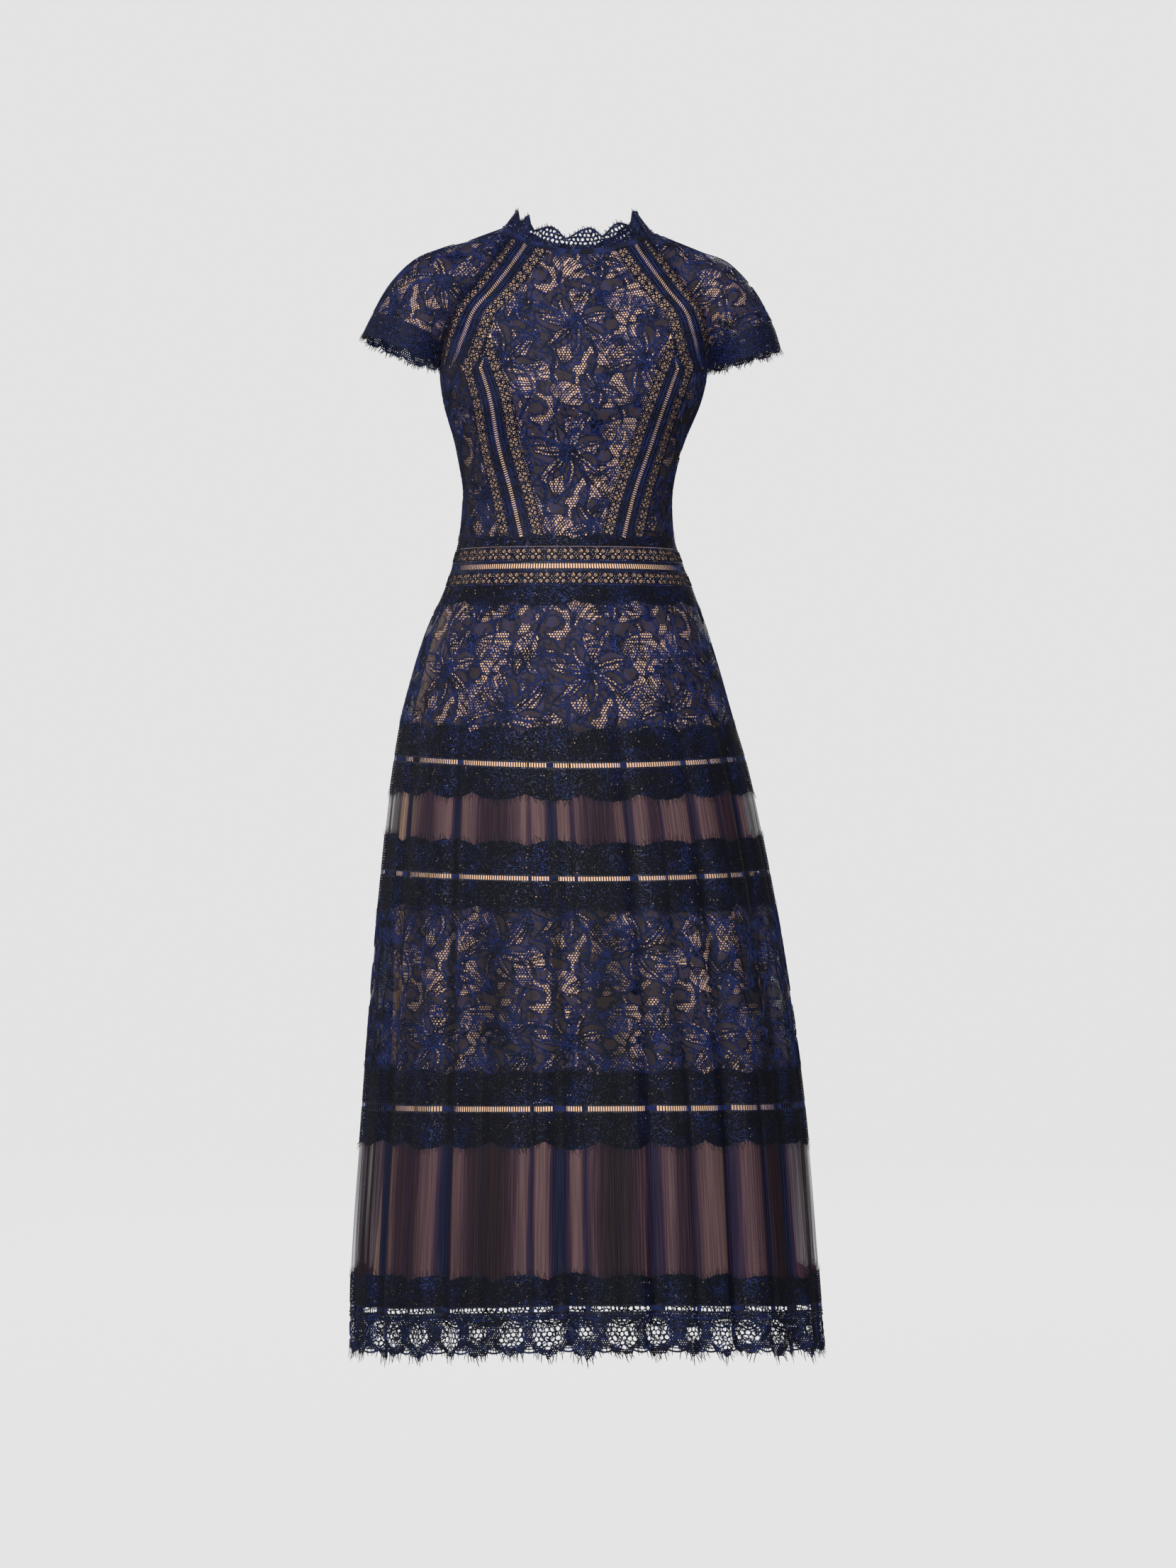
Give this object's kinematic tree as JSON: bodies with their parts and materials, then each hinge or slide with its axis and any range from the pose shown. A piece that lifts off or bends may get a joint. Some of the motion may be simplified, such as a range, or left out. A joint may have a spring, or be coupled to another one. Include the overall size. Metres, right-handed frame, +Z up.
{
  "type": "lace cocktail dress",
  "caption": "Navy lace cocktail dress with a stand collar, raglan cap sleeves, a ladder-stitched waistband and a tiered midi skirt, worn open and hollow.",
  "frame": {"origin": "the middle of the shoulder line, level with the side of the neck opening, where the wearer's shoulders carry the dress", "axes": "+Z up along the dress, -Y to the front, +X to the wearer's left"},
  "size_m": [0.5185, 0.4618, 1.2457],
  "materials": {
    "floral_lace": "corded floral lace, navy",
    "flower_galloon": "small-flower galloon lace, navy",
    "eyelash_lace": "dense scalloped eyelash lace, dark navy",
    "ladder_insertion": "open ladder insertion with satin edges, navy",
    "chiffon": "sheer crinkle chiffon, navy",
    "nude_lining": "smooth woven lining, nude",
    "zip_tape": "concealed zip tape, navy",
    "zip_metal": "lacquered zip slider, navy"
  },
  "bodies": {
    "garment": {"back_zip": "zip_tape", "bodice_back_left": "floral_lace", "bodice_back_right": "floral_lace", "bodice_front_center": "floral_lace", "bodice_front_side_left": "floral_lace", "bodice_front_side_right": "floral_lace", "bodice_lining_back_left": "nude_lining", "bodice_lining_back_right": "nude_lining", "bodice_lining_front": "nude_lining", "collar": "eyelash_lace", "princess_galloon_inner_left": "flower_galloon", "princess_galloon_inner_right": "flower_galloon", "princess_galloon_outer_left": "flower_galloon", "princess_galloon_outer_right": "flower_galloon", "princess_ladder_left": "ladder_insertion", "princess_ladder_right": "ladder_insertion", "raglan_galloon_inner_left": "flower_galloon", "raglan_galloon_inner_right": "flower_galloon", "raglan_galloon_outer_left": "flower_galloon", "raglan_galloon_outer_right": "flower_galloon", "raglan_ladder_left": "ladder_insertion", "raglan_ladder_right": "ladder_insertion", "skirt_chiffon_tier_1": "chiffon", "skirt_chiffon_tier_2": "chiffon", "skirt_edging_1_lower": "eyelash_lace", "skirt_edging_1_upper": "eyelash_lace", "skirt_edging_2_lower": "eyelash_lace", "skirt_edging_2_upper": "eyelash_lace", "skirt_edging_3_lower": "eyelash_lace", "skirt_edging_3_upper": "eyelash_lace", "skirt_edging_4_upper": "eyelash_lace", "skirt_hem_lace": "eyelash_lace", "skirt_lace_tier_1": "floral_lace", "skirt_lace_tier_2": "floral_lace", "skirt_ladder_1": "ladder_insertion", "skirt_ladder_2": "ladder_insertion", "skirt_ladder_3": "ladder_insertion", "skirt_ladder_4": "ladder_insertion", "skirt_lining": "nude_lining", "sleeve_hem_trim_left": "eyelash_lace", "sleeve_hem_trim_right": "eyelash_lace", "sleeve_left": "floral_lace", "sleeve_lining_left": "nude_lining", "sleeve_lining_right": "nude_lining", "sleeve_right": "floral_lace", "waist_edging_lower": "eyelash_lace", "waist_edging_upper": "eyelash_lace", "waist_galloon_lower": "flower_galloon", "waist_galloon_upper": "flower_galloon", "waist_ladder": "ladder_insertion", "zip_slider": "zip_metal"},
    "zip_pull": {"zip_pull": "zip_metal"}
  },
  "joints": [
    {"name": "zip_pull_hinge", "type": "hinge", "parent": "garment", "child": "zip_pull", "pos_m": [0.00145, 0.0738, -0.03417], "axis": [1, 0, 0], "range_deg": [0, 150]}
  ]
}
